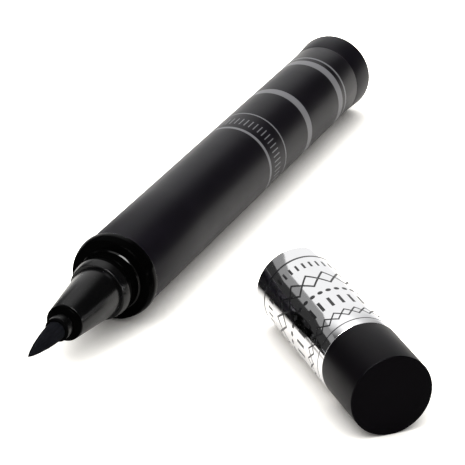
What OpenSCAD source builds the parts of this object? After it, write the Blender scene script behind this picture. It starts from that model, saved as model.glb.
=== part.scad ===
// Liquid eyeliner pen, lying open: the pen on its side with the cap taken off and laid beside it.
// Millimetres. The surface that it lies on is Z = 0, the pen's tail points along +Y and its nib along -Y.
// Pen pieces are drawn upright, with Z = 0 at the barrel's front rim and the nib upwards.
// Cap pieces are drawn upright, with Z = 0 at the mouth and the closed end upwards.

/* [Barrel] */
// Outer radius of the barrel
barrel_r = 5.7; // [4.6:0.1:7]
// Length of the barrel from its front rim to the tail
barrel_len = 75.7; // [65:0.1:110]
// Wall of the barrel
barrel_wall = 1; // [0.6:0.05:1.2]
// Length of the bevel on the barrel's front rim
rim_bevel_len = 0.2; // [0.1:0.05:1]
// Depth of the bevel on the barrel's front rim
rim_bevel_depth = 0.1; // [0.1:0.02:0.4]

/* [Tail plug] */
// Length of the plug's head, which shows at the tail
plug_head_len = 5; // [1.2:0.1:6]
// Radius of the rounded edge at the tail
plug_round = 0.8; // [0.2:0.1:1.1]
// Length of the plug's spigot inside the barrel
plug_spigot_len = 5; // [3:0.5:9]
// Wall of the hollow spigot
plug_spigot_wall = 0.8; // [0.5:0.1:1.5]
// Bevel on both edges of the seam between plug and barrel, and on the back edge of the cap's closed end
seam_bevel = 0.08; // [0.02:0.01:0.15]

/* [Ink tank] */
// Wall of the ink tank
tank_wall = 0.6; // [0.4:0.05:0.9]
// Thickness of the tank's closed end
tank_end_t = 1; // [0.6:0.1:2]
// Gap all round between the tank and the barrel
tank_play = 0.2; // [0.1:0.05:0.3]
// Gap between the tank's closed end and the tail plug
tank_end_play = 0.5; // [0.3:0.1:2]
// Radius of the mixing ball
ball_r = 2; // [1:0.1:2.8]

/* [Collector] */
// Number of fins on the collector
fin_count = 9; // [5:1:13]
// Thickness of one fin
fin_t = 0.45; // [0.3:0.05:0.5]
// Distance from one fin to the next
fin_pitch = 0.9; // [0.7:0.05:1.1]
// Radius of the collector's core, between the fins
collector_core_r = 2.2; // [1.6:0.1:3]
// Length of the collector's plug inside the tank
collector_plug_len = 3.5; // [2:0.5:6]
// Thickness of the flange that closes the tank
collector_flange_t = 0.8; // [0.5:0.1:1.5]
// Length of the collector's hub inside the front section
collector_hub_len = 4.7; // [3:0.1:5.5]
// Width of the air slot that is cut across the fins
air_slot_w = 0.6; // [0.3:0.05:1]
// Radius of the feed core
core_r = 0.93; // [0.6:0.01:1.05]
// Length of the feed core that stands in the tank
core_dip = 1.5; // [0.5:0.1:3]

/* [Front section] */
// How far the collar stands proud of the barrel, as the tail plug's head does too
collar_proud = 0.26; // [0.16:0.01:0.3]
// Length of the glossy collar, from the barrel's rim to its face
collar_len = 2.25; // [1.5:0.05:3]
// Radius at which the collar's side curls in towards its face
collar_dome_r = 4.8; // [3:0.1:10]
// Radius of the collar's rounded front edge
collar_round = 0.2; // [0.1:0.05:0.6]
// Length of the front section inside the barrel
section_spigot_len = 12; // [10.5:0.5:14]
// Width of the collar's face, from its side to the neck
collar_face_w = 1.78; // [1:0.02:2]
// Distance from the collar's face to the fine groove round the neck, which the cap grips
neck_ring_len = 1.5; // [1:0.1:2.5]
// Depth of that groove, whose sides slope at 45 degrees
neck_groove_depth = 0.1; // [0.04:0.01:0.2]
// Length of the neck's straight part from that groove to its taper
neck_band_len = 1.1; // [0.5:0.1:2]
// Size of the sloping foot between the collar's face and the neck
neck_foot = 0.2; // [0.1:0.05:0.25]
// Length of the taper from the neck to the nozzle
neck_taper_len = 1.3; // [1:0.05:2.5]
// Fall of the neck's radius, from its straight part to its front edge
neck_taper_depth = 0.26; // [0.1:0.02:0.4]
// Wall of the neck's front end, outside the nozzle's spigot
neck_end_wall = 0.7; // [0.5:0.02:0.74]
// Wall of the front section, outside the collector's hub
section_wall = 0.78; // [0.7:0.02:0.9]
// Depth of the groove for the seal ring
seal_groove_depth = 0.9; // [0.8:0.02:0.96]
// Distance from the barrel's rim back to the middle of the seal ring
seal_from_rim = 2.2; // [1.5:0.1:3]

/* [Nozzle] */
// How far the nozzle's root stands in from the neck's front edge
nozzle_root_inset = 0.34; // [0.3:0.02:0.44]
// Wall of the nozzle's front end, outside the tip ring's spigot
nozzle_front_wall = 0.42; // [0.4:0.01:0.8]
// Length of the nozzle's visible taper
nozzle_len = 8.9; // [5:0.1:9.5]
// Length of the nozzle's spigot in the front section
nozzle_spigot_len = 10.15; // [9:0.05:10.8]
// Wall of the nozzle's spigot
nozzle_wall = 0.8; // [0.5:0.05:1]
// Length of the tip ring's visible side
tip_len = 0.5; // [0.5:0.05:3]
// Fall of the tip ring's radius, from the nozzle to its front edge
tip_taper_depth = 0.04; // [0.02:0.02:0.4]
// Radius of the rounding of the tip ring's front edge
tip_round = 0.2; // [0.1:0.05:0.5]
// Slope of the tip ring's front face, in degrees
tip_face_slope = 30; // [5:1:40]
// Length of the tip ring's spigot in the nozzle
tip_spigot_len = 5.4; // [2.5:0.1:6]
// Wall of the tip ring's spigot
tip_spigot_wall = 0.42; // [0.4:0.02:0.66]

/* [Nib] */
// Radius of the nib where it leaves its holder
nib_r = 1.3; // [1:0.01:1.35]
// Length of the nib that stands out of its holder
nib_out_len = 7.55; // [5:0.05:9]
// Length of the nib inside its holder
nib_in_len = 7; // [5:0.1:7.4]
// Radius of the nib's blunt point
nib_point_r = 0.05; // [0.03:0.01:0.1]
// Wall of the nib holder
holder_wall = 0.3; // [0.2:0.01:0.35]
// Length of the holder that stands out of the tip ring
holder_out_len = 2; // [1.2:0.1:3]
// Depth of the socket in the nib's back end, which takes the feed core
nib_socket_len = 1; // [0.5:0.1:2]
// Distance from the sponge sleeve's ends to the nozzle's inner step and to its open end
sponge_end_gap = 0.4; // [0.2:0.1:1]

/* [Cap] */
// Wall of the liner at the cap's mouth
mouth_wall = 0.85; // [0.6:0.05:1.5]
// Length of the black closed end
cap_end_len = 9.15; // [6.5:0.05:12]
// Thickness of the closed end's wall
cap_end_t = 1.5; // [1:0.1:2]
// Radius of the rounded edge of the closed end
cap_end_round = 0.15; // [0.1:0.05:0.8]
// Thickness of the silver sleeve
sleeve_t = 0.3; // [0.2:0.02:0.35]
// Wall of the liner round the spring chamber
liner_wall = 0.48; // [0.4:0.02:0.5]
// Length of the liner inside the closed end
liner_grip_len = 3.75; // [2:0.25:5]
// Length of the liner's mouth, which grips the neck
mouth_len = 3.6; // [3.5:0.1:4]
// Bevel on the liner's inner edge at the mouth
mouth_bevel = 0.25; // [0.25:0.05:0.5]
// Gap all round between the neck and the cap's mouth
neck_gap = 0.05; // [0.03:0.01:0.07]

/* [Inner cap] */
// Distance from the collar's face to the inner cap's mouth, with the pen closed
inner_mouth_depth = 7.75; // [6.5:0.25:9]
// Wall of the inner cap
inner_wall = 0.65; // [0.4:0.05:0.7]
// Thickness of the inner cap's closed end and flange
inner_end_t = 0.8; // [0.5:0.1:1.2]
// Room left in front of the nib, with the pen closed
nib_room = 0.55; // [0.3:0.05:1]
// Travel of the inner cap against its spring
inner_travel = 2; // [1:0.1:3]
// Height of the boss that centres the spring on the inner cap
spring_boss_len = 0.9; // [0.5:0.1:1.5]
// Length of the spring with the cap off, which sets the length of the cap
spring_len = 7.65; // [6.5:0.05:9]
// Radius of the spring at the middle of its wire
spring_r = 2.6; // [2.2:0.1:3]
// Radius of the spring's wire
spring_wire_r = 0.2; // [0.12:0.01:0.22]
// Number of curls in the spring
spring_curls = 5; // [3:1:5]

/* [Layout] */
// Distance from the pen's axis to the middle of the cap's mouth
mouth_x = 22.15; // [20:0.05:60]
// Distance from the barrel's rim back to the middle of the cap's mouth
mouth_y = 7.5; // [0:0.05:40]
// Angle between the cap and the pen, in degrees
cap_angle = 44.9; // [20:0.1:80]

/* [Hidden] */
$fn = 96;

// Gap all round between pieces that are pushed into each other
fit_gap = 0.02;
// Gap all round between pieces that slide on each other
slide_gap = 0.1;
// Overrun of every cut
over = 0.5;
// Steps in each rounded edge
round_steps = 8;
// Corners round the spring's wire, and rings of corners along one curl of it
ring_sides = 6;
curl_rings = 8;

// The barrel and what stands in it
bore_r = barrel_r - barrel_wall;
collar_r = barrel_r + collar_proud;
tail_z = -(barrel_len - plug_head_len);
plug_spigot_r = bore_r - fit_gap;
tank_r = bore_r - tank_play;
tank_bore_r = tank_r - tank_wall;
tank_back_z = tail_z + plug_spigot_len + tank_end_play;

// The neck that the cap pushes onto
neck_r = collar_r - collar_face_w;
neck_end_r = neck_r - neck_taper_depth;

// The collector, counted back from the front section
section_spigot_r = bore_r - fit_gap;
hub_r = section_spigot_r - section_wall - fit_gap;
section_back_z = -section_spigot_len;
fins_len = fin_count * fin_pitch;
fins_back_z = section_back_z - fins_len;
tank_front_z = fins_back_z - collector_flange_t;
collector_back_z = tank_front_z - collector_plug_len;
core_back_z = collector_back_z - core_dip;
core_hole_r = core_r + fit_gap;

// The mixing ball rests on the tank's wall, just clear of the feed core
ball_z = core_back_z - slide_gap - ball_r;
ball_drop = tank_bore_r - fit_gap - ball_r;

// The neck, the nozzle and the nib, one after the other
neck_ring_z = collar_len + neck_ring_len;
neck_taper_z = neck_ring_z + neck_band_len;
neck_end_z = neck_taper_z + neck_taper_len;
nozzle_front_z = neck_end_z + nozzle_len;
tip_front_z = nozzle_front_z + tip_len;
holder_front_z = tip_front_z + holder_out_len;
nib_tip_z = holder_front_z + nib_out_len;
nozzle_back_z = neck_end_z - nozzle_spigot_len;
nozzle_spigot_r = neck_end_r - neck_end_wall - fit_gap;
nozzle_bore_r = nozzle_spigot_r - nozzle_wall;
nozzle_base_r = neck_end_r - nozzle_root_inset;
holder_r = nib_r + fit_gap + holder_wall;
tip_back_z = nozzle_front_z - tip_spigot_len;
tip_spigot_r = holder_r + fit_gap + tip_spigot_wall;
nozzle_front_r = tip_spigot_r + fit_gap + nozzle_front_wall;
tip_front_r = nozzle_front_r - tip_taper_depth;
nib_back_z = holder_front_z - nib_in_len;
core_front_z = nib_back_z + nib_socket_len - fit_gap;

// The cap: a height in the closed cap is a height on the pen less the collar's length
mouth_r = neck_r + neck_gap;
liner_r = mouth_r + mouth_wall;
sleeve_bore_r = liner_r + fit_gap;
cap_r = sleeve_bore_r + sleeve_t;
chamber_r = liner_r - liner_wall;
nib_tip_in_cap = nib_tip_z - collar_len;
inner_back_z = nib_tip_in_cap + nib_room + inner_end_t - inner_travel;
chamber_top_z = inner_back_z + spring_len;
cap_len = chamber_top_z + cap_end_t;
sleeve_len = cap_len - cap_end_len;
liner_len = sleeve_len + liner_grip_len;
inner_mouth_z = inner_mouth_depth - inner_travel;
inner_bore_r = nozzle_r_at(inner_mouth_depth + collar_len) + fit_gap;
inner_r = inner_bore_r + inner_wall;
guide_r = inner_r + slide_gap;
flange_r = chamber_r - slide_gap;
flange_front_z = inner_back_z - inner_end_t;
spring_boss_r = (spring_r - spring_wire_r) * cos(180 / curl_rings) - slide_gap;

// Where everything lies: the middle of the whole object's footprint is the origin
cap_end_x = mouth_x + (cap_len - cap_end_round) * sin(cap_angle);
cap_end_y = mouth_y - (cap_len - cap_end_round) * cos(cap_angle);
cap_face_r = cap_r - cap_end_round;
low_x = -collar_r;
high_x = cap_end_x + cap_face_r * cos(cap_angle) + cap_end_round;
low_y = min(-nib_tip_z, cap_end_y - cap_face_r * sin(cap_angle) - cap_end_round);
high_y = barrel_len;
rim_x = -(low_x + high_x) / 2;
rim_y = -(low_y + high_y) / 2;

// Radius of the nozzle's taper at a height on the pen
function nozzle_r_at(z) =
    nozzle_base_r - (nozzle_base_r - nozzle_front_r) * (z - neck_end_z) / nozzle_len;

// Points of an arc, from one angle to another
function arc(centre, r, from, to) =
    [for (i = [0 : round_steps]) let (a = from + (to - from) * i / round_steps)
        centre + r * [cos(a), sin(a)]];

// Puts an upright pen piece where the pen lies, which is on its collar and its tail plug
module on_pen() {
    translate([rim_x, rim_y, collar_r]) rotate([90, 0, 0]) children();
}

// Puts an upright cap piece where the cap lies
module on_cap() {
    translate([rim_x + mouth_x, rim_y + mouth_y, cap_r]) rotate([90, 0, cap_angle]) children();
}

// A turned piece, from points of radius and height
module turned(points) {
    rotate_extrude() polygon(points);
}

// A plain tube between two heights
module tube(outer, inner, from, to) {
    turned([[inner, from], [outer, from], [outer, to], [inner, to]]);
}

module barrel() {
    color([0.05, 0.05, 0.055]) on_pen() turned([
        [bore_r, tail_z],
        [barrel_r - seam_bevel, tail_z],
        [barrel_r, tail_z + seam_bevel],
        [barrel_r, -rim_bevel_len],
        [barrel_r - rim_bevel_depth, 0],
        [bore_r, 0],
    ]);
}

module tail_plug() {
    recess_r = plug_spigot_r - plug_spigot_wall;
    edge = [collar_r - plug_round, plug_round - barrel_len];
    color([0.05, 0.05, 0.055]) on_pen() turned(concat(
        [[0, -barrel_len]],
        arc(edge, plug_round, -90, 0),
        [
            [barrel_r, tail_z - seam_bevel],
            [barrel_r - seam_bevel, tail_z],
            [plug_spigot_r, tail_z],
            [plug_spigot_r, tail_z + plug_spigot_len],
            [recess_r, tail_z + plug_spigot_len],
            [recess_r, tail_z],
            [0, tail_z],
        ]
    ));
}

module ink_tank() {
    floor_z = tank_back_z + tank_end_t;
    color([0.85, 0.87, 0.9]) on_pen() turned(concat(
        [[0, tank_back_z]],
        arc([tank_r - tank_end_t, floor_z], tank_end_t, -90, 0),
        [
            [tank_r, tank_front_z],
            [tank_bore_r, tank_front_z],
            [tank_bore_r, floor_z],
            [0, floor_z],
        ]
    ));
}

module mixing_ball() {
    color([0.7, 0.7, 0.72]) on_pen() translate([0, -ball_drop, ball_z]) sphere(r = ball_r);
}

// The collector: a plug in the tank, a flange against its end, the comb of fins, and a hub in the
// front section. The feed core runs through it, and air comes back along the slot across the fins.
module collector() {
    plug_r = tank_bore_r - fit_gap;
    color([0.9, 0.9, 0.88]) on_pen() difference() {
        union() {
            cylinder_between(plug_r, collector_back_z, tank_front_z);
            cylinder_between(tank_r, tank_front_z, fins_back_z);
            cylinder_between(collector_core_r, fins_back_z, section_back_z);
            for (i = [1 : fin_count - 1])
                cylinder_between(tank_r, fins_back_z + i * fin_pitch - fin_t, fins_back_z + i * fin_pitch);
            cylinder_between(hub_r, section_back_z - fin_t, section_back_z + collector_hub_len);
        }
        cylinder_between(core_hole_r, collector_back_z - over, section_back_z + collector_hub_len + over);
        translate([-air_slot_w / 2, collector_core_r, fins_back_z])
            cube([air_slot_w, tank_r, fins_len - fin_t]);
    }
}

module cylinder_between(r, from, to) {
    translate([0, 0, from]) cylinder(r = r, h = to - from);
}

module feed_core() {
    color([0.95, 0.95, 0.92]) on_pen() turned([
        [0, core_back_z],
        [core_r / 2, core_back_z],
        [core_r, core_back_z + core_r],
        [core_r, core_front_z],
        [0, core_front_z],
    ]);
}

module seal_ring() {
    wire_r = seal_groove_depth / 2;
    color([0.12, 0.12, 0.12]) on_pen() translate([0, 0, -seal_from_rim])
        rotate_extrude() translate([bore_r - fit_gap - wire_r, 0]) circle(r = wire_r);
}

// The front section: a spigot in the barrel, the glossy collar, and the neck for the cap
module front_section() {
    hub_hole_r = section_spigot_r - section_wall;
    web_back_z = section_back_z + collector_hub_len + fit_gap;
    groove_r = section_spigot_r - seal_groove_depth;
    groove_half = seal_groove_depth / 2 + fit_gap;
    rear_r = barrel_r - rim_bevel_depth;
    dome_z = rim_bevel_depth + collar_proud;
    dome_end = asin((collar_len - collar_round - dome_z) / collar_dome_r);
    front_r = collar_r - collar_dome_r * (1 - cos(dome_end));
    nozzle_hole_r = nozzle_spigot_r + fit_gap;
    color([0.01, 0.01, 0.012]) on_pen() turned(concat(
        [
            [hub_hole_r, section_back_z],
            [section_spigot_r, section_back_z],
            [section_spigot_r, -seal_from_rim - groove_half],
            [groove_r, -seal_from_rim - groove_half],
            [groove_r, -seal_from_rim + groove_half],
            [section_spigot_r, -seal_from_rim + groove_half],
            [section_spigot_r, 0],
            [rear_r, 0],
        ],
        arc([collar_r - collar_dome_r, dome_z], collar_dome_r, 0, dome_end),
        arc([front_r - collar_round, collar_len - collar_round], collar_round, dome_end, 90),
        [
            [neck_r + neck_foot, collar_len],
            [neck_r, collar_len + neck_foot],
            [neck_r, neck_ring_z],
            [neck_r - neck_groove_depth, neck_ring_z + neck_groove_depth],
            [neck_r, neck_ring_z + 2 * neck_groove_depth],
            [neck_r, neck_taper_z],
            [neck_end_r, neck_end_z],
            [nozzle_hole_r, neck_end_z],
            [nozzle_hole_r, nozzle_back_z - fit_gap],
            [core_hole_r, nozzle_back_z - fit_gap],
            [core_hole_r, web_back_z],
            [hub_hole_r, web_back_z],
        ]
    ));
}

module sponge_sleeve() {
    color([0.75, 0.75, 0.72]) on_pen() tube(
        nozzle_bore_r - fit_gap,
        core_hole_r,
        nozzle_back_z + sponge_end_gap,
        tip_back_z - sponge_end_gap
    );
}

module nozzle() {
    tip_hole_r = tip_spigot_r + fit_gap;
    color([0.06, 0.06, 0.065]) on_pen() turned([
        [nozzle_bore_r, nozzle_back_z],
        [nozzle_spigot_r, nozzle_back_z],
        [nozzle_spigot_r, neck_end_z],
        [nozzle_base_r, neck_end_z],
        [nozzle_front_r, nozzle_front_z],
        [tip_hole_r, nozzle_front_z],
        [tip_hole_r, tip_back_z],
        [nozzle_bore_r, tip_back_z],
    ]);
}

// The glossy ring at the nozzle's mouth, which grips the nib holder
module nozzle_tip() {
    hole_r = holder_r + fit_gap;
    edge = [tip_front_r - tip_round, tip_front_z - tip_round];
    face_r = edge[0] + tip_round * sin(tip_face_slope);
    face_z = edge[1] + tip_round * cos(tip_face_slope);
    color([0.01, 0.01, 0.012]) on_pen() turned(concat(
        [
            [hole_r, tip_back_z],
            [tip_spigot_r, tip_back_z],
            [tip_spigot_r, nozzle_front_z],
            [nozzle_front_r, nozzle_front_z],
        ],
        arc(edge, tip_round, 0, 90 - tip_face_slope),
        [[hole_r, face_z + (face_r - hole_r) * tan(tip_face_slope)]]
    ));
}

module nib_holder() {
    hole_r = nib_r + fit_gap;
    color([0.03, 0.03, 0.035]) on_pen() turned([
        [core_hole_r, tip_back_z],
        [holder_r, tip_back_z],
        [holder_r, holder_front_z - holder_wall / 2],
        [holder_r - holder_wall / 2, holder_front_z],
        [hole_r, holder_front_z],
        [hole_r, nib_back_z],
        [core_hole_r, nib_back_z],
    ]);
}

// Radius of the nib as a share of its full radius, from the holder (0) to the point (1)
nib_taper_shares = [[0, 1], [0.09, 1], [0.17, 0.97], [0.25, 0.93], [0.33, 0.88], [0.41, 0.82],
                    [0.49, 0.75], [0.57, 0.675], [0.65, 0.595], [0.73, 0.5], [0.81, 0.39],
                    [0.89, 0.265], [0.96, 0.12]];

module fibre_nib() {
    socket_r = core_hole_r;
    color([0.03, 0.035, 0.05]) on_pen() turned(concat(
        [
            [0, nib_back_z + nib_socket_len],
            [socket_r, nib_back_z + nib_socket_len],
            [socket_r, nib_back_z],
            [nib_r, nib_back_z],
        ],
        [for (s = nib_taper_shares) [nib_r * s[1], holder_front_z + nib_out_len * s[0]]],
        [[nib_point_r, nib_tip_z - nib_point_r], [0, nib_tip_z]]
    ));
}

module cap_sleeve() {
    color([0.85, 0.85, 0.87]) on_cap() tube(cap_r, sleeve_bore_r, 0, sleeve_len);
}

// The black closed end: a cup that is pressed over the liner's end and closes the spring chamber
module cap_end() {
    liner_stop_z = liner_len + fit_gap;
    edge = [cap_r - cap_end_round, cap_len - cap_end_round];
    color([0.04, 0.04, 0.045]) on_cap() turned(concat(
        [
            [0, chamber_top_z],
            [chamber_r, chamber_top_z],
            [chamber_r, liner_stop_z],
            [sleeve_bore_r, liner_stop_z],
            [sleeve_bore_r, sleeve_len],
            [cap_r - seam_bevel, sleeve_len],
            [cap_r, sleeve_len + seam_bevel],
        ],
        arc(edge, cap_end_round, 0, 90),
        [[0, cap_len]]
    ));
}

// The moulded inside of the cap: the mouth grips the neck, the long middle guides the inner cap,
// and the step behind it holds the inner cap's flange in the spring chamber
module cap_liner() {
    step_z = flange_front_z - fit_gap;
    color([0.9, 0.9, 0.88]) on_cap() turned([
        [mouth_r + mouth_bevel, 0],
        [liner_r, 0],
        [liner_r, liner_len],
        [chamber_r, liner_len],
        [chamber_r, step_z],
        [guide_r, step_z],
        [guide_r, mouth_len],
        [mouth_r, mouth_len],
        [mouth_r, mouth_bevel],
    ]);
}

module inner_cap() {
    color([0.93, 0.93, 0.9]) on_cap() turned([
        [inner_bore_r, inner_mouth_z],
        [inner_r, inner_mouth_z],
        [inner_r, flange_front_z],
        [flange_r, flange_front_z],
        [flange_r, inner_back_z],
        [spring_boss_r, inner_back_z],
        [spring_boss_r, inner_back_z + spring_boss_len],
        [0, inner_back_z + spring_boss_len],
        [0, flange_front_z],
        [inner_bore_r, flange_front_z],
    ]);
}

// The spring's wire runs up from the inner cap to the closed end
spring_low_z = inner_back_z + fit_gap + spring_wire_r;
spring_high_z = chamber_top_z - fit_gap - spring_wire_r;
ring_total = spring_curls * curl_rings;

function spring_at(i) =
    let (turn = 360 * i / curl_rings)
    [spring_r * cos(turn), spring_r * sin(turn),
     spring_low_z + (spring_high_z - spring_low_z) * i / ring_total];

function wire_ring(i) =
    let (turn = 360 * i / curl_rings, c = spring_at(i))
    [for (k = [0 : ring_sides - 1]) let (a = 360 * k / ring_sides)
        c + spring_wire_r * [cos(a) * cos(turn), cos(a) * sin(turn), sin(a)]];

function spring_self_gap() =
    min([for (i = [0 : ring_total]) for (j = [i + curl_rings / 2 : ring_total])
        norm(spring_at(j) - spring_at(i))]) - 2 * spring_wire_r;

module inner_cap_spring() {
    points = [for (i = [0 : ring_total]) each wire_ring(i)];
    sides = [for (i = [0 : ring_total - 1]) for (k = [0 : ring_sides - 1])
        let (a = i * ring_sides + k, b = i * ring_sides + (k + 1) % ring_sides)
        each [[a, b, b + ring_sides], [a, b + ring_sides, a + ring_sides]]];
    last = ring_total * ring_sides;
    ends = [for (k = [1 : ring_sides - 2]) each [[0, k + 1, k], [last, last + k, last + k + 1]]];
    echo(least_gap_between_curls = spring_self_gap());
    color([0.75, 0.76, 0.78]) on_cap() polyhedron(points = points, faces = concat(sides, ends));
}

barrel();
tail_plug();
ink_tank();
mixing_ball();
collector();
feed_core();
seal_ring();
front_section();
sponge_sleeve();
nozzle();
nozzle_tip();
nib_holder();
fibre_nib();
cap_sleeve();
cap_end();
cap_liner();
inner_cap();
inner_cap_spring();
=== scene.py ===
# %% [markdown]
# A liquid eyeliner pen lies open on a white table, with its cap beside it.
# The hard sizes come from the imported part, which is loaded first and never changed.
# Each piece that shows is then modelled again, finer, and stands for its CAD node.

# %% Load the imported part
import math
import bpy
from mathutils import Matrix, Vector


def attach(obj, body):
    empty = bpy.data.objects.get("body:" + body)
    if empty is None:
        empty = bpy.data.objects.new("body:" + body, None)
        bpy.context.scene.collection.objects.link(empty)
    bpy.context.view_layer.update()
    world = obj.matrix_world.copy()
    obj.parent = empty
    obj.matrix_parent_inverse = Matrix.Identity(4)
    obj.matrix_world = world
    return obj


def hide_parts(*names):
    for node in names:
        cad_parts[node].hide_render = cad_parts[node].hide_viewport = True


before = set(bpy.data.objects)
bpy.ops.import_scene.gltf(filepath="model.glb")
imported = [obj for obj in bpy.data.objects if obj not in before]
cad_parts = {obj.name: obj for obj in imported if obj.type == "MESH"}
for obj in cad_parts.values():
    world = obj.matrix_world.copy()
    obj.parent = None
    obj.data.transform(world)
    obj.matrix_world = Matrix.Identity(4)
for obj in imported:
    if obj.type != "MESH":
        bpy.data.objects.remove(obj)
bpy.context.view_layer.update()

# %% [markdown]
# The photograph looks down the pen from its nib, with a long lens. The camera could be placed by
# eye, but the edges of round pieces are easy to measure, so its place and lens were worked out
# from them. It comes first, because everything else is seen through it.

# %% Camera
MM = 0.001
CAMERA_AT = (117.845, -297.8, 162.27)
CAMERA_TURN = 24.18
CAMERA_TILT = 63.793
CAMERA_LENS = 201.76

bpy.ops.object.camera_add(
    location=[c * MM for c in CAMERA_AT],
    rotation=(math.radians(CAMERA_TILT), 0, math.radians(CAMERA_TURN)),
)
camera = bpy.context.object
camera.data.sensor_width = 36
camera.data.lens = CAMERA_LENS
camera.data.clip_start = 0.01
bpy.context.scene.camera = camera
bpy.context.scene.view_settings.view_transform = "Standard"
print("camera", CAMERA_TILT, "degrees up from straight down, lens", camera.data.lens)

# %% [markdown]
# Both the pen and its cap are turned pieces: every part of them is round about one axis. A lathe
# is the natural way to draw them. In Blender that can be a spun outline, or a ring of points that
# is extruded and resized step by step, like rolling a pot. The second way is used, because each
# step of the outline is then one plain line of radius and height in millimetres.

# %% A lathe for turned pieces
SIDES = 144


def pick_only(piece):
    bpy.ops.object.select_all(action="DESELECT")
    piece.select_set(True)
    bpy.context.view_layer.objects.active = piece


def turned(name, outline, closed=True, sides=SIDES):
    """Rolls a ring of points along an outline of (radius, height) in mm. A closed outline comes
    back to its start, as a tube's does, and an open one gets a flat face at both ends."""
    bpy.ops.object.select_all(action="DESELECT")
    r, z = outline[0]
    bpy.ops.mesh.primitive_circle_add(vertices=sides, radius=r * MM, location=(0, 0, z * MM))
    piece = bpy.context.object
    piece.name = name
    bpy.ops.object.mode_set(mode="EDIT")
    for next_r, next_z in outline[1:] + (outline[:1] if closed else []):
        rise = (0, 0, (next_z - z) * MM)
        bpy.ops.mesh.extrude_region_move(TRANSFORM_OT_translate={"value": rise})
        bpy.ops.transform.resize(value=(next_r / r, next_r / r, 1))
        r, z = next_r, next_z
    bpy.ops.mesh.select_all(action="SELECT")
    if closed:
        bpy.ops.mesh.remove_doubles(threshold=1e-7)
    else:
        bpy.ops.mesh.fill_holes(sides=0)
        bpy.ops.mesh.select_all(action="SELECT")
    bpy.ops.mesh.normals_make_consistent(inside=False)
    bpy.ops.object.mode_set(mode="OBJECT")
    bpy.ops.object.transform_apply(location=True, rotation=True, scale=True)
    return piece


def arc(centre_r, centre_z, r, start, end, steps=8):
    """Points of a rounded edge, from one angle to another, 0 pointing outwards and 90 upwards."""
    angles = [math.radians(start + (end - start) * i / steps) for i in range(steps + 1)]
    return [(centre_r + r * math.cos(a), centre_z + r * math.sin(a)) for a in angles]


# %% [markdown]
# Real moulded edges are never sharp: even a crisp one catches a thin line of light. A bevel
# modifier rounds every edge that turns more than 30 degrees, and is then applied.

# %% Rounded edges, and laying a piece in its place
PEN_AT = (-21.041, -25.3, 5.96)
CAP_AT = (1.109, -17.8, 5.4)
CAP_ANGLE = 44.9
SHARP_ANGLE = 30
WIDE_EDGE = 0.05
CAP_EDGE = 0.04
FINE_EDGE = 0.03


def soften(piece, width, segments=3):
    pick_only(piece)
    edge = piece.modifiers.new("soft edges", "BEVEL")
    edge.width = width * MM
    edge.segments = segments
    edge.limit_method = "ANGLE"
    edge.angle_limit = math.radians(SHARP_ANGLE)
    bpy.ops.object.modifier_apply(modifier=edge.name)
    bpy.ops.object.shade_smooth_by_angle(angle=math.radians(35))


def lay(piece, at, turn):
    pick_only(piece)
    piece.location = [c * MM for c in at]
    piece.rotation_euler = [math.radians(a) for a in turn]
    bpy.ops.object.transform_apply(location=True, rotation=True, scale=True)
    print(piece.name, len(piece.data.polygons), "faces")


def pen_piece(piece, node):
    """Heights on the pen count from the barrel's front rim towards the nib."""
    lay(piece, PEN_AT, (90, 0, 0))
    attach(piece, "pen")
    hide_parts(node)


def cap_piece(piece, node, body="cap"):
    """Heights in the cap count from its mouth towards the closed end."""
    lay(piece, CAP_AT, (90, 0, CAP_ANGLE))
    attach(piece, body)
    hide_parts(node)


# %% [markdown]
# The barrel is a straight tube with a satin black coating. Its front rim has a small bevel, which
# shows as a dark seam beside the collar. The tail is a plug whose long head swells evenly and ends
# in a rounded edge. The collar is just as wide, so the pen lies level on these two. A cylinder and
# a Boolean could give the tube, but one outline holds its wall, bore and bevel together.

# %% Barrel and tail plug
BARREL_R = 5.7
BORE_R = 4.7
RIM_BEVEL_LEN = 0.2
RIM_BEVEL_DEPTH = 0.1
COLLAR_R = 5.96
SPIGOT_R = 4.68
TAIL = -75.7
PLUG_HEAD_LEN = 5
PLUG_SPIGOT_LEN = 5
PLUG_ROUND = 0.8
PLUG_BORE_R = 3.88
RECESS_R = 2.6
RECESS_DEPTH = 0.12
SEAM = TAIL + PLUG_HEAD_LEN

barrel = turned("Barrel", [
    (BORE_R, SEAM), (BARREL_R, SEAM), *((BARREL_R, z) for z in (-60, -45, -30, -15)),
    (BARREL_R, -RIM_BEVEL_LEN), (BARREL_R - RIM_BEVEL_DEPTH, 0),
    *((BORE_R, z) for z in (0, -15, -45)),
])
soften(barrel, WIDE_EDGE)
pen_piece(barrel, "barrel")

tail_plug = turned("Tail_plug", [
    (RECESS_R - 0.2, TAIL + RECESS_DEPTH), (RECESS_R, TAIL), (4.2, TAIL),
    *arc(COLLAR_R - PLUG_ROUND, TAIL + PLUG_ROUND, PLUG_ROUND, -90, 0),
    (BARREL_R, SEAM), (SPIGOT_R, SEAM), (SPIGOT_R, SEAM + PLUG_SPIGOT_LEN),
    (PLUG_BORE_R, SEAM + PLUG_SPIGOT_LEN), (PLUG_BORE_R, SEAM),
], closed=False)
soften(tail_plug, WIDE_EDGE)
pen_piece(tail_plug, "tail_plug")

# %% [markdown]
# The front section is pushed into the barrel and ends in the glossy collar. The collar is domed:
# its side curls in more and more towards its face, so only its back edge mirrors the bright room.
# A cylinder with a wide bevel would curl in evenly, so the dome is drawn as an arc of its own.
# The neck takes the cap's mouth: a small sloping foot, which catches one streak of light, a
# straight part with a fine groove, and a taper to the nozzle.

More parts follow.
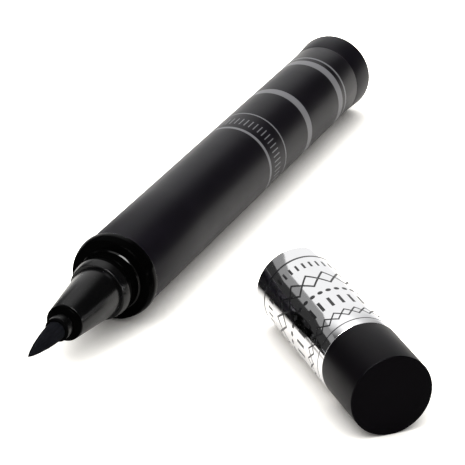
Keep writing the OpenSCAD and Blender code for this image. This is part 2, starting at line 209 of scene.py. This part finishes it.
# %% Front section
COLLAR = 2.25
DOME_R = 4.8
DOME_STARTS = 0.36
COLLAR_BACK_R = 5.6
COLLAR_FACE_R = 5.45
COLLAR_ROUND = 0.2
SECTION_BACK = -12
SECTION_BORE_R = 3.9
SEAL_BACK, SEAL_FRONT = -2.67, -1.73
SEAL_GROOVE_R = 3.78
FOOT = 0.2
NECK_R = 4.18
GROOVE_AT = (3.75, 3.85, 3.95)
GROOVE_DEPTH = 0.1
BAND_END = 4.85
NECK_END = 6.15
NECK_FRONT_R = 3.92
NECK_BORE_R = 3.22
WALL_FRONT, WALL_BACK = -4.02, -7.28
CORE_R = 0.95

front_section = turned("Front_section", [
    (SECTION_BORE_R, SECTION_BACK), (SPIGOT_R, SECTION_BACK),
    (SPIGOT_R, SEAL_BACK), (SEAL_GROOVE_R, SEAL_BACK),
    (SEAL_GROOVE_R, SEAL_FRONT), (SPIGOT_R, SEAL_FRONT),
    (SPIGOT_R, 0), (COLLAR_BACK_R, 0),
    *arc(COLLAR_R - DOME_R, DOME_STARTS, DOME_R, 0, 19, steps=12),
    *arc(COLLAR_FACE_R, COLLAR - COLLAR_ROUND, COLLAR_ROUND, 22, 90, steps=6),
    (NECK_R + FOOT, COLLAR), (NECK_R, COLLAR + FOOT),
    (NECK_R, GROOVE_AT[0]), (NECK_R - GROOVE_DEPTH, GROOVE_AT[1]), (NECK_R, GROOVE_AT[2]),
    (NECK_R, BAND_END), (NECK_FRONT_R, NECK_END), (NECK_BORE_R, NECK_END),
    (NECK_BORE_R, WALL_FRONT), (CORE_R, WALL_FRONT),
    (CORE_R, WALL_BACK), (SECTION_BORE_R, WALL_BACK),
])
soften(front_section, WIDE_EDGE)
pen_piece(front_section, "front_section")

# %% [markdown]
# The nozzle is a plain satin taper. The glossy tip ring at its mouth has a rounded edge and a
# sloping face, and the holder that grips the nib stands out of it. Plain cones could give their
# outsides, but all three are hollow and sit in one another, so each is turned with its bore.

# %% Nozzle, tip ring and nib holder
NOZZLE_BACK = -4
NOZZLE_SPIGOT_R = 3.2
NOZZLE_ROOT_R = 3.58
NOZZLE_MIDDLE = (3.052, 10.5)
NOZZLE_END = 15.05
NOZZLE_FRONT_R = 2.5
NOZZLE_BORE_R = 2.4
TIP_BACK = 9.65
TIP_SEAT_R = 2.08
TIP_SPIGOT_R = 2.06
TIP_BORE_R = 1.64
TIP_END = 15.55
TIP_R = 2.46
TIP_ROUND = 0.2
TIP_SLOPE = 30
HOLDER_R = 1.62
HOLDER_BORE_R = 1.32
HOLDER_BEVEL = 0.15
HOLDER_END = 17.55
NIB_BACK = 10.55

nozzle = turned("Nozzle", [
    (NOZZLE_BORE_R, NOZZLE_BACK), (NOZZLE_SPIGOT_R, NOZZLE_BACK), (NOZZLE_SPIGOT_R, NECK_END),
    (NOZZLE_ROOT_R, NECK_END), NOZZLE_MIDDLE, (NOZZLE_FRONT_R, NOZZLE_END),
    (TIP_SEAT_R, NOZZLE_END), (TIP_SEAT_R, TIP_BACK), (NOZZLE_BORE_R, TIP_BACK),
])
soften(nozzle, WIDE_EDGE)
pen_piece(nozzle, "nozzle")

slope = math.radians(TIP_SLOPE)
face_rise = (TIP_R - TIP_ROUND / 2 - TIP_BORE_R) * math.tan(slope)
nozzle_tip = turned("Tip_ring", [
    (TIP_BORE_R, TIP_BACK), (TIP_SPIGOT_R, TIP_BACK), (TIP_SPIGOT_R, NOZZLE_END),
    (NOZZLE_FRONT_R, NOZZLE_END),
    *arc(TIP_R - TIP_ROUND, TIP_END - TIP_ROUND, TIP_ROUND, 0, 90 - TIP_SLOPE),
    (TIP_BORE_R, TIP_END - TIP_ROUND * (1 - math.cos(slope)) + face_rise),
])
soften(nozzle_tip, FINE_EDGE)
pen_piece(nozzle_tip, "nozzle_tip")

holder = turned("Nib_holder", [
    (CORE_R, TIP_BACK), (HOLDER_R, TIP_BACK), (HOLDER_R, HOLDER_END - HOLDER_BEVEL),
    (HOLDER_R - HOLDER_BEVEL, HOLDER_END), (HOLDER_BORE_R, HOLDER_END),
    (HOLDER_BORE_R, NIB_BACK), (CORE_R, NIB_BACK),
])
soften(holder, FINE_EDGE)
pen_piece(holder, "nib_holder")

# %% [markdown]
# The nib is a stick of pressed fibres, ground to a point. Its side swells a little on the way,
# and under a loupe fine ridges run along it. A cone would be too straight, so the outline is
# smoothed between measured points. Two displace modifiers press the ridges in, with noise that is
# drawn out along the nib, because ridges cut one by one would look too regular.

# %% Fibre nib
NIB_R = 1.3
NIB_END = 25.1
NIB_SHARES = [(0, 1), (0.09, 1), (0.17, 0.97), (0.25, 0.93), (0.33, 0.88), (0.41, 0.82),
              (0.49, 0.75), (0.57, 0.675), (0.65, 0.595), (0.73, 0.5), (0.81, 0.39),
              (0.89, 0.265), (0.96, 0.12), (0.99, 0.03)]


def smoothed(points, per_span=6):
    """Points on a smooth curve through the given ones."""
    ends = [points[0]] + points + [points[-1]]
    curve = []
    for a, b, c, d in zip(ends, ends[1:], ends[2:], ends[3:]):
        for i in range(per_span):
            t = i / per_span
            curve.append(tuple(
                0.5 * (2 * q + (r - p) * t + (2 * p - 5 * q + 4 * r - s) * t * t
                       + (3 * q - p - 3 * r + s) * t ** 3)
                for p, q, r, s in zip(a, b, c, d)))
    return curve + [points[-1]]


nib_out = NIB_END - HOLDER_END
nib_side = [(NIB_R * share, HOLDER_END + nib_out * along) for along, share in smoothed(NIB_SHARES)]
nib = turned("Fibre_nib", [
    (CORE_R, NIB_BACK + 1), (CORE_R, NIB_BACK), (NIB_R, NIB_BACK), (NIB_R, 13), (NIB_R, 15.5),
    *nib_side,
], closed=False, sides=192)


def press_fibres(piece, depth, across, along):
    """Presses fine lengthwise ridges into a piece, never outwards."""
    pick_only(piece)
    bpy.ops.object.empty_add()
    stretch = bpy.context.object
    stretch.scale = (across * MM, across * MM, along * MM)
    bpy.context.view_layer.update()
    noise = bpy.data.textures.new("fibres", "CLOUDS")
    noise.noise_scale = 1
    pick_only(piece)
    press = piece.modifiers.new("fibres", "DISPLACE")
    press.texture = noise
    press.texture_coords = "OBJECT"
    press.texture_coords_object = stretch
    press.mid_level = 1
    press.strength = depth * MM
    bpy.ops.object.modifier_apply(modifier=press.name)
    bpy.data.objects.remove(stretch)


press_fibres(nib, depth=0.05, across=0.07, along=2.5)
press_fibres(nib, depth=0.04, across=0.25, along=4)
bpy.ops.object.shade_smooth_by_angle(angle=math.radians(50))
pen_piece(nib, "fibre_nib")

# %% [markdown]
# The cap has three shells: a thin bright metal sleeve, a black cup that closes the end, and the
# white moulded liner inside, which shows at the mouth. The inner cap waits deeper in. A Solidify
# modifier could thicken plain tubes, but the outlines keep every wall and seat at its own size.

# %% Cap
CAP_R = 5.4
SLEEVE_BORE_R = 5.1
SLEEVE_END = 22.2
MOUTH_EDGE = 0.06
CUP_BORE_R = 4.6
CUP_BACK = 25.97
CUP_FLOOR = 29.85
CUP_SEAM = 0.08
CUP_ROUND = 0.15
CAP_END = 31.35
LINER_R = 5.08
LINER_END = 25.95
MOUTH_BORE_R = 4.23
MOUTH_LEN = 3.6
GUIDE_R = 3.883
GUIDE_END = 21.38
INNER_CAP_R = 3.783
INNER_CAP_BORE_R = 3.133
INNER_CAP_MOUTH = 5.75
FLANGE_R = 4.5
FLANGE_BACK, FLANGE_END = 21.4, 22.2
PEG_R = 2.11
PEG_END = 23.1

sleeve = turned("Cap_sleeve", [
    (SLEEVE_BORE_R, 0), (CAP_R - MOUTH_EDGE, 0), (CAP_R, MOUTH_EDGE),
    *((CAP_R, z) for z in (5.5, 11, 16.5, SLEEVE_END)),
    (SLEEVE_BORE_R, SLEEVE_END), (SLEEVE_BORE_R, 11),
])
soften(sleeve, FINE_EDGE)
cap_piece(sleeve, "cap_sleeve")

cap_end = turned("Cap_end", [
    (CUP_BORE_R, CUP_FLOOR), (CUP_BORE_R, CUP_BACK), (SLEEVE_BORE_R, CUP_BACK),
    (SLEEVE_BORE_R, SLEEVE_END), (CAP_R - CUP_SEAM, SLEEVE_END), (CAP_R, SLEEVE_END + CUP_SEAM),
    *arc(CAP_R - CUP_ROUND, CAP_END - CUP_ROUND, CUP_ROUND, 0, 90), (4, CAP_END), (2, CAP_END),
], closed=False)
soften(cap_end, CAP_EDGE)
cap_piece(cap_end, "cap_end")

liner = turned("Cap_liner", [
    (MOUTH_BORE_R + 0.25, 0), (LINER_R, 0), (LINER_R, LINER_END), (CUP_BORE_R, LINER_END),
    (CUP_BORE_R, GUIDE_END), (GUIDE_R, GUIDE_END), (GUIDE_R, MOUTH_LEN),
    (MOUTH_BORE_R, MOUTH_LEN), (MOUTH_BORE_R, 0.25),
])
soften(liner, CAP_EDGE)
cap_piece(liner, "cap_liner")

inner_cap = turned("Inner_cap", [
    (INNER_CAP_BORE_R, FLANGE_BACK), (INNER_CAP_BORE_R, INNER_CAP_MOUTH),
    (INNER_CAP_R, INNER_CAP_MOUTH), (INNER_CAP_R, FLANGE_BACK), (FLANGE_R, FLANGE_BACK),
    (FLANGE_R, FLANGE_END), (PEG_R, FLANGE_END), (PEG_R, PEG_END),
], closed=False)
soften(inner_cap, CAP_EDGE)
cap_piece(inner_cap, "inner_cap", body="inner_cap")

# %% [markdown]
# Now the finishes. Each is a small tree of nodes round one shader. Patterns read Object
# coordinates, which are the same metres as the part, so a Mapping node can stand them up on the
# pen's or the cap's own axis and turn them into millimetres.

# %% Tools for finishes
PEN_AXIS = (PEN_AT, (90, 0, 0))
CAP_AXIS = (CAP_AT, (90, 0, CAP_ANGLE))


def finish(name, axis=PEN_AXIS):
    """A new material, its shader, and coordinates in mm that stand upright on the given axis."""
    made = bpy.data.materials.new(name)
    made.use_nodes = True
    nodes = made.node_tree.nodes
    place = nodes.new("ShaderNodeMapping")
    place.vector_type = "TEXTURE"
    place.inputs["Location"].default_value = [c * MM for c in axis[0]]
    place.inputs["Rotation"].default_value = [math.radians(a) for a in axis[1]]
    place.inputs["Scale"].default_value = (MM, MM, MM)
    where = nodes.new("ShaderNodeTexCoord")
    made.node_tree.links.new(where.outputs["Object"], place.inputs["Vector"])
    return made, nodes["Principled BSDF"], place.outputs["Vector"]


def join(made, a, b):
    """Links a value or a socket into a socket."""
    if hasattr(a, "is_output"):
        made.node_tree.links.new(a, b)
    else:
        b.default_value = a


def maths(made, what, a, b=0.0, c=0.0):
    node = made.node_tree.nodes.new("ShaderNodeMath")
    node.operation = what
    for value, socket in zip((a, b, c), node.inputs):
        join(made, value, socket)
    return node.outputs[0]


def noise(made, where, scale, detail=2.0, stretch=(1, 1, 1)):
    """Cloudy noise. The scale is in spots to the millimetre."""
    spread = made.node_tree.nodes.new("ShaderNodeMapping")
    join(made, where, spread.inputs["Vector"])
    spread.inputs["Scale"].default_value = stretch
    node = made.node_tree.nodes.new("ShaderNodeTexNoise")
    join(made, spread.outputs["Vector"], node.inputs["Vector"])
    node.inputs["Scale"].default_value = scale
    node.inputs["Detail"].default_value = detail
    return node.outputs["Fac"]


def between(made, share, low, high, start=0.0, end=1.0):
    """Turns a share, from start to end, into a value from low to high."""
    node = made.node_tree.nodes.new("ShaderNodeMapRange")
    join(made, share, node.inputs["Value"])
    node.inputs["From Min"].default_value = start
    node.inputs["From Max"].default_value = end
    node.inputs["To Min"].default_value = low
    node.inputs["To Max"].default_value = high
    return node.outputs["Result"]


def mixed(made, share, low, high):
    """Mixes two colours."""
    node = made.node_tree.nodes.new("ShaderNodeMix")
    node.data_type = "RGBA"
    join(made, share, node.inputs["Factor"])
    for value, socket in ((low, node.inputs["A"]), (high, node.inputs["B"])):
        join(made, value if hasattr(value, "is_output") else (*value, 1), socket)
    return node.outputs["Result"]


def bump(made, shader, height, depth):
    """Raises the surface by a height in mm."""
    node = made.node_tree.nodes.new("ShaderNodeBump")
    node.inputs["Distance"].default_value = depth * MM
    join(made, height, node.inputs["Height"])
    join(made, node.outputs["Normal"], shader.inputs["Normal"])


# %% [markdown]
# The black plastics differ in gloss more than in colour. The coating on the barrel is satin, so
# lights spread in it, and its print is silver grey. What is printed on the real one is left out,
# and plain rings and ticks stand there, in the same grey. The collar is so deep a black that only
# its back edge and the neck's foot shine, and the holder is dull at its front edge. One roughness
# for all could not tell these apart, so each has its own, and bands of height set the shine.

# %% Black plastics
def black_plastic(name, axis, colour, rough, grain, specular=0.5):
    made, shader, where = finish(name, axis)
    cloud = noise(made, where, 0.35, 3)
    fine = noise(made, where, 9, 2)
    low = [c * 0.8 for c in colour]
    high = [c * 1.2 for c in colour]
    join(made, mixed(made, cloud, low, high), shader.inputs["Base Color"])
    join(made, between(made, cloud, rough * 0.85, rough * 1.15), shader.inputs["Roughness"])
    shader.inputs["Specular IOR Level"].default_value = specular
    bump(made, shader, fine, grain)
    return made, shader, where


def shine(made, shader, specular):
    """Lets the strength of the reflections change from place to place."""
    join(made, specular, shader.inputs["Specular IOR Level"])


def ring(made, height, at, half):
    """1 inside a band of heights round the axis, 0 outside."""
    return maths(made, "COMPARE", height, at, half)


def round_axis(made, where):
    """(turn in degrees round the axis, height along it) of a point."""
    split = made.node_tree.nodes.new("ShaderNodeSeparateXYZ")
    join(made, where, split.inputs["Vector"])
    turn = maths(made, "ARCTAN2", split.outputs["Y"], split.outputs["X"])
    return maths(made, "MULTIPLY", turn, 180 / math.pi), split.outputs["Z"]


def ticks(made, turn, height, at, half, step, width):
    """A row of short lines along the axis, one every step degrees, each width degrees wide."""
    phase = maths(made, "PINGPONG", turn, step / 2)
    return maths(made, "MULTIPLY", maths(made, "LESS_THAN", phase, width / 2),
                 ring(made, height, at, half))


def dots(made, turn, height, at, step, size, r):
    """A row of round dots, one every step degrees, on a surface of radius r."""
    across = maths(made, "MULTIPLY", maths(made, "PINGPONG", turn, step / 2), math.radians(1) * r)
    along = maths(made, "SUBTRACT", height, at)
    far = maths(made, "SQRT", maths(made, "ADD", maths(made, "MULTIPLY", across, across),
                                    maths(made, "MULTIPLY", along, along)))
    return maths(made, "LESS_THAN", far, size)


def lozenges(made, turn, height, at, half, step, line):
    """A row of open lozenges, from two zigzag lines that mirror each other."""
    swing = maths(made, "MULTIPLY", maths(made, "PINGPONG", turn, step / 2), 2 * half / step)
    along = maths(made, "ABSOLUTE", maths(made, "SUBTRACT", height, at))
    return maths(made, "COMPARE", along, swing, line)


def any_of(made, marks):
    total = marks[0]
    for mark in marks[1:]:
        total = maths(made, "MAXIMUM", total, mark)
    return total


PRINT_GREY = (0.2, 0.2, 0.21)
PRINTED_RINGS = ((-37.5, 0.3), (-43, 0.15), (-52, 0.8), (-64, 0.8), (-66, 0.2))
SOFT_BLACK = (0.0025, 0.0025, 0.0027)

barrel_black, shader, where = black_plastic(
    "barrel_black", PEN_AXIS, (0.0046, 0.0037, 0.0062), rough=0.36, grain=0.004, specular=0.14)
turn, height = round_axis(barrel_black, where)
print_marks = any_of(barrel_black, [
    *(ring(barrel_black, height, at, half) for at, half in PRINTED_RINGS),
    ticks(barrel_black, turn, height, -40, 1, 7.5, 1.6),
])
plain_colour = shader.inputs["Base Color"].links[0].from_socket
join(barrel_black, mixed(barrel_black, print_marks, plain_colour, PRINT_GREY),
     shader.inputs["Base Color"])

collar_black, shader, where = black_plastic(
    "collar_black", PEN_AXIS, (0.001, 0.001, 0.001), rough=0.12, grain=0.0005)
height = round_axis(collar_black, where)[1]
edge_shine = between(collar_black, height, 0.09, 0.004, start=0.5, end=1.2)
foot = ring(collar_black, height, COLLAR + 0.12, 0.1)
foot_shine = maths(collar_black, "MULTIPLY", 0.12, foot)
shine(collar_black, shader, maths(collar_black, "MAXIMUM", edge_shine, foot_shine))

nozzle_black = black_plastic(
    "nozzle_black", PEN_AXIS, SOFT_BLACK, rough=0.2, grain=0.003, specular=0.2)[0]

holder_black, shader, where = black_plastic(
    "holder_black", PEN_AXIS, SOFT_BLACK, rough=0.25, grain=0.004)
height = round_axis(holder_black, where)[1]
shine(holder_black, shader, between(
    holder_black, height, 0.22, 0.0, start=HOLDER_END - 0.6, end=HOLDER_END - 0.3))

cap_black, shader, where = black_plastic(
    "cap_black", CAP_AXIS, (0.0017, 0.0013, 0.0021), rough=0.4, grain=0.003)
height = round_axis(cap_black, where)[1]
shine(cap_black, shader, between(
    cap_black, height, 0.065, 0.02, start=CAP_END - 0.1, end=CAP_END))
print("black plastics:", [m.name for m in bpy.data.materials if m.name.endswith("_black")])

# %% [markdown]
# The sleeve is bright metal with black print. A mirror needs no colour of its own, only a faint
# unevenness that bends what it shows. The print is flat ink, so inside its marks the surface
# stops being metal. An image could hold such a print, but a few formulas of turn and height stay
# sharp at any size. Its marks are plain rings, ticks, dots and lozenges.

# %% Silver sleeve
sleeve_silver, shader, where = finish("sleeve_silver", CAP_AXIS)
turn, height = round_axis(sleeve_silver, where)
ink = any_of(sleeve_silver, [
    ring(sleeve_silver, height, 2.8, 0.18),
    ticks(sleeve_silver, turn, height, 5, 0.7, 10, 3.2),
    lozenges(sleeve_silver, turn, height, 9, 1.5, 24, 0.24),
    dots(sleeve_silver, turn, height, 12.4, 12, 0.36, CAP_R),
    ticks(sleeve_silver, turn, height, 15.2, 1.1, 15, 4.4),
    lozenges(sleeve_silver, turn, height, 18.6, 0.8, 15, 0.17),
    ring(sleeve_silver, height, 20.8, 0.1),
])
cloud = noise(sleeve_silver, where, 0.5, 3, stretch=(1, 1, 0.2))
fine = noise(sleeve_silver, where, 6, 3, stretch=(1, 1, 0.1))
metal = mixed(sleeve_silver, cloud, (0.84, 0.84, 0.85), (0.9, 0.9, 0.91))
printed = mixed(sleeve_silver, ink, metal, (0.008, 0.008, 0.009))
join(sleeve_silver, printed, shader.inputs["Base Color"])
join(sleeve_silver, maths(sleeve_silver, "SUBTRACT", 1.0, ink), shader.inputs["Metallic"])
smooth = between(sleeve_silver, fine, 0.05, 0.1)
matt_ink = maths(sleeve_silver, "MULTIPLY", ink, 0.35)
join(sleeve_silver, maths(sleeve_silver, "MAXIMUM", smooth, matt_ink), shader.inputs["Roughness"])
bump(sleeve_silver, shader, fine, 0.0006)
print("sleeve_silver:", len(sleeve_silver.node_tree.nodes), "nodes")

# %% [markdown]
# The nib is fibre soaked with black liquid, faintly blue and quite dull. Streaks run along it,
# where some fibres are wetter than others. Noise that is squeezed along the axis gives them, and
# the same recipe, a little lighter, serves the feed core inside.

# %% Nib fibre and the wetted feed
def soaked_fibre(name, dry, wet):
    made, shader, where = finish(name)
    streaks = noise(made, where, 5, 4, stretch=(1, 1, 0.06))
    join(made, mixed(made, streaks, wet, dry), shader.inputs["Base Color"])
    join(made, between(made, streaks, 0.6, 1.0), shader.inputs["Roughness"])
    shine(made, shader, 0.015)
    bump(made, shader, noise(made, where, 14, 3, stretch=(1, 1, 0.1)), 0.02)
    return made


nib_fibre = soaked_fibre("nib_fibre", (0.0135, 0.014, 0.0175), (0.0006, 0.0008, 0.0014))
feed_fibre = soaked_fibre("feed_fibre", (0.07, 0.07, 0.075), (0.03, 0.03, 0.034))
print("fibres:", nib_fibre.name, feed_fibre.name)

# %% [markdown]
# The liner and the inner cap are natural polypropylene, white and faintly clear, so some light
# runs under the surface. The tank is the same kind of plastic, clearer and stained by the liquid.

# %% Natural plastics
def natural(name, axis, colour, stain, rough):
    made, shader, where = finish(name, axis)
    cloud = noise(made, where, 0.6, 3)
    join(made, mixed(made, cloud, colour, stain), shader.inputs["Base Color"])
    join(made, between(made, cloud, rough, rough + 0.12), shader.inputs["Roughness"])
    shader.inputs["Subsurface Weight"].default_value = 0.3
    shader.inputs["Subsurface Radius"].default_value = (0.6, 0.6, 0.55)
    shader.inputs["Subsurface Scale"].default_value = MM
    bump(made, shader, noise(made, where, 5, 2), 0.003)
    return made


natural_plastic = natural("natural_plastic", CAP_AXIS, (0.78, 0.78, 0.75), (0.72, 0.72, 0.68), 0.3)
tank_plastic = natural("tank_plastic", PEN_AXIS, (0.7, 0.72, 0.74), (0.35, 0.36, 0.38), 0.22)
print("natural plastics:", natural_plastic.name, tank_plastic.name)

# %% [markdown]
# Inside the pen and out of sight are foam, a rubber seal, a steel ball and a spring. Their CAD
# solids stay as they are, and get finishes of their own, because the inside counts as well.

# %% Foam, rubber and steel
foam, shader, where = finish("foam")
cells = foam.node_tree.nodes.new("ShaderNodeTexVoronoi")
join(foam, where, cells.inputs["Vector"])
cells.inputs["Scale"].default_value = 4
# Painted shade: the foam is coloured darker in the hollows of its cells, where the bump sinks.
painted_pore_shade = mixed(foam, cells.outputs["Distance"], (0.1, 0.1, 0.1), (0.45, 0.45, 0.42))
join(foam, painted_pore_shade, shader.inputs["Base Color"])
shader.inputs["Roughness"].default_value = 0.95
bump(foam, shader, cells.outputs["Distance"], 0.12)

seal_rubber = black_plastic("seal_rubber", PEN_AXIS, (0.02, 0.02, 0.02), rough=0.6, grain=0.01)[0]


def steel(name, axis, rough, stretch):
    made, shader, where = finish(name, axis)
    streaks = noise(made, where, 4, 3, stretch=stretch)
    polished = mixed(made, streaks, (0.5, 0.5, 0.51), (0.64, 0.64, 0.65))
    join(made, polished, shader.inputs["Base Color"])
    join(made, between(made, streaks, rough, rough + 0.1), shader.inputs["Roughness"])
    shader.inputs["Metallic"].default_value = 1
    bump(made, shader, streaks, 0.001)
    return made


spring_steel = steel("spring_steel", CAP_AXIS, 0.25, (0.3, 0.3, 2))
ball_steel = steel("ball_steel", PEN_AXIS, 0.08, (1, 1, 1))
print("hidden finishes:", foam.name, seal_rubber.name, spring_steel.name, ball_steel.name)

# %% [markdown]
# Each piece takes its finish. The front section is one moulding with two finishes: its collar is
# polished, and its neck is satin like the nozzle, so the neck's faces are picked by their place.

# %% Give out the finishes
SATIN_FROM = 4.8


def wear(piece, made):
    piece.data.materials.clear()
    piece.data.materials.append(made)


for piece, made in (
    (barrel, barrel_black), (tail_plug, barrel_black), (front_section, collar_black),
    (nozzle, nozzle_black), (nozzle_tip, collar_black), (holder, holder_black), (nib, nib_fibre),
    (sleeve, sleeve_silver), (cap_end, cap_black), (liner, natural_plastic),
    (inner_cap, natural_plastic),
):
    wear(piece, made)
for node, made in (
    ("ink_tank", tank_plastic), ("mixing_ball", ball_steel), ("collector", natural_plastic),
    ("feed_core", feed_fibre), ("seal_ring", seal_rubber), ("sponge_sleeve", foam),
    ("inner_cap_spring", spring_steel),
):
    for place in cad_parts[node].material_slots:
        place.material = made

front_section.data.materials.append(nozzle_black)
satin_starts = (PEN_AT[1] - SATIN_FROM) * MM
neck_faces = [f for f in front_section.data.polygons if f.center.y < satin_starts]
for face in neck_faces:
    face.material_index = 1
print("satin faces on the neck:", len(neck_faces))

# %% [markdown]
# The table is white, and in the photograph it is so bright that only warm, soft shadows show. The
# floor's own colour gives part of that. The rest is extra white that lights nothing: the camera
# sees it, and reflections see a small share. It fades where something stands near, which paints
# shade there on top of the real shadows. Stronger lamps would whiten the table as well, but they
# would bleach the pen.

# %% Floor
FLOOR_EXTRA = 2
MIRRORED_SHARE = 0.22
SHADOW_REACH = 8
SHADOW_DEPTH = 3
bpy.ops.mesh.primitive_plane_add(size=4)
floor = bpy.context.object
floor.name = "Floor"
white_floor = bpy.data.materials.new("white_floor")
white_floor.use_nodes = True
nodes = white_floor.node_tree.nodes
shader = nodes["Principled BSDF"]
shader.inputs["Base Color"].default_value = (0.97, 0.945, 0.91, 1)
shader.inputs["Roughness"].default_value = 0.9
shader.inputs["Specular IOR Level"].default_value = 0.1
shader.inputs["Emission Color"].default_value = (1, 0.985, 0.93, 1)
rays = nodes.new("ShaderNodeLightPath")
seen = maths(white_floor, "MULTIPLY_ADD", rays.outputs["Is Glossy Ray"], MIRRORED_SHARE,
             rays.outputs["Is Camera Ray"])
# The extra white fades by ambient occlusion: painted shade round the pieces, added to their real
# shadows.
open_sky = nodes.new("ShaderNodeAmbientOcclusion")
open_sky.inputs["Distance"].default_value = SHADOW_REACH * MM
openness = maths(white_floor, "POWER", open_sky.outputs["AO"], SHADOW_DEPTH)
extra = maths(white_floor, "MULTIPLY", maths(white_floor, "MULTIPLY", seen, openness), FLOOR_EXTRA)
join(white_floor, extra, shader.inputs["Emission Strength"])
wear(floor, white_floor)

# %% [markdown]
# Light comes from a soft box in front and above, and from the white surroundings. The bright
# sleeve and the black plastics show what stands round them, so reflections see a room of their
# own: photographers do the same with cards. Two grey cards stand on the left, and a small bright
# one in front draws the streak at the neck's foot. Cards are seen only in reflections.

# %% Soft light and cards
DOME_LOW = 0.2
DOME_RISE = 1.12
ROOM_LOW = 0.03
world = bpy.data.worlds.new("white_surroundings")
bpy.context.scene.world = world
world.use_nodes = True
world.cycles.sampling_method = "NONE"
around = world.node_tree.nodes["Background"]
around.inputs["Color"].default_value = (1, 1, 1, 1)
rays = world.node_tree.nodes.new("ShaderNodeLightPath")
sky = world.node_tree.nodes.new("ShaderNodeTexCoord")
toward = world.node_tree.nodes.new("ShaderNodeSeparateXYZ")
join(world, sky.outputs["Generated"], toward.inputs[0])


def fade(value, start, end, low, high):
    """Goes smoothly from low at the start to high at the end."""
    node = world.node_tree.nodes.new("ShaderNodeMapRange")
    node.interpolation_type = "SMOOTHSTEP"
    join(world, value, node.inputs["Value"])
    numbers = {"From Min": start, "From Max": end, "To Min": low, "To Max": high}
    for socket, number in numbers.items():
        node.inputs[socket].default_value = number
    return node.outputs["Result"]


# Behind the tail the room is white on the left, dark on the right and brightest above. Ahead of
# the nib it is white all round.
x, y, z = (toward.outputs[axis] for axis in "XYZ")
off_axis = maths(world, "SQRT", maths(world, "ADD", maths(world, "MULTIPLY", x, x),
                                      maths(world, "MULTIPLY", z, z)))
above = fade(z, 0.6, 0.92, 0.0, 1.0)
across = maths(world, "MULTIPLY_ADD", above, -0.3, maths(world, "DIVIDE", x, off_axis))
side = fade(across, -0.6, 0.3, 1.0, 0.0)
behind = fade(y, 0.0, 0.35, 0.0, 1.0)
ahead = fade(y, -0.75, -0.55, 0.8, 0.0)
top = maths(world, "MULTIPLY_ADD", above, 0.8, 1.0)
room = maths(world, "MULTIPLY_ADD", maths(world, "MULTIPLY", side, behind), top,
             maths(world, "ADD", ahead, ROOM_LOW))
dome = maths(world, "MULTIPLY_ADD", z, DOME_RISE, DOME_LOW)
camera_ray, glossy_ray = rays.outputs["Is Camera Ray"], rays.outputs["Is Glossy Ray"]
other_ray = maths(world, "SUBTRACT", 1.0, maths(world, "ADD", camera_ray, glossy_ray))
lit = maths(world, "MULTIPLY", dome, other_ray)
mirrored = maths(world, "MULTIPLY", room, glossy_ray)
strength = maths(world, "ADD", camera_ray, maths(world, "ADD", lit, mirrored))
join(world, strength, around.inputs["Strength"])


def face_table(piece, at):
    piece.rotation_euler = Vector(at).to_track_quat("Z", "Y").to_euler()


def soft_box(name, at, size, power):
    bpy.ops.object.light_add(type="AREA", location=at)
    lamp = bpy.context.object
    lamp.name = name
    lamp.data.shape = "RECTANGLE"
    lamp.data.size, lamp.data.size_y = size
    lamp.data.energy = power
    face_table(lamp, at)


soft_box("Overhead", (-0.12, -0.25, 0.5), (0.25, 0.25), 0.6)


def card(name, at, size, grey):
    """A flat card that faces the middle of the table, seen only in reflections."""
    bpy.ops.mesh.primitive_plane_add(size=1, location=at)
    piece = bpy.context.object
    piece.name = name
    piece.scale = (*size, 1)
    face_table(piece, at)
    made = bpy.data.materials.new(name + "_grey")
    made.use_nodes = True
    shader = made.node_tree.nodes["Principled BSDF"]
    shader.inputs["Base Color"].default_value = (0, 0, 0, 1)
    shader.inputs["Specular IOR Level"].default_value = 0
    shader.inputs["Emission Color"].default_value = (grey, grey, grey, 1)
    shader.inputs["Emission Strength"].default_value = 1
    made.cycles.emission_sampling = "NONE"
    wear(piece, made)
    for ray in ("camera", "diffuse", "shadow", "transmission", "volume_scatter"):
        setattr(piece, "visible_" + ray, False)


card("Card_left_low", (-0.51, 0.05, 0.09), (0.6, 0.22), 0.035)
card("Card_left_high", (-0.46, 0.08, 0.235), (0.62, 0.11), 0.3)
card("Card_front", (0.12, -0.275, 0.36), (0.22, 0.2), 40)
